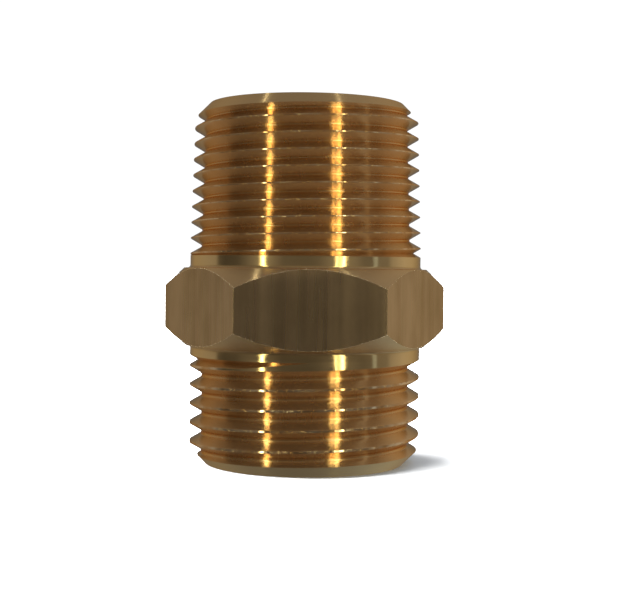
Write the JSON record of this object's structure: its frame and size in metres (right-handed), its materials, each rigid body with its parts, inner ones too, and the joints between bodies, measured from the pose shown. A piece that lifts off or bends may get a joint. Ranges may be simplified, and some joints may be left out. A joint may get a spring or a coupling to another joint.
{
  "type": "hex nipple",
  "caption": "Male-to-male brass hex nipple: taper pipe thread on one end, garden-hose thread on the other, chamfered wrench hexagon between, bored straight through.",
  "frame": {"origin": "centre of the hose end's face, on the bore's axis, which is the lowest plane of the part", "axes": "+Z along the bore towards the pipe end, +X through two opposite corners of the hexagon, +Y square to two opposite wrench flats"},
  "size_m": [0.0328, 0.0284, 0.0418],
  "materials": {
    "brass": "bare machined brass, bright on the turned collars and threads, drawn-bar finish on the wrench flats"
  },
  "bodies": {
    "root": {"nipple_body": "brass"}
  },
  "joints": []
}
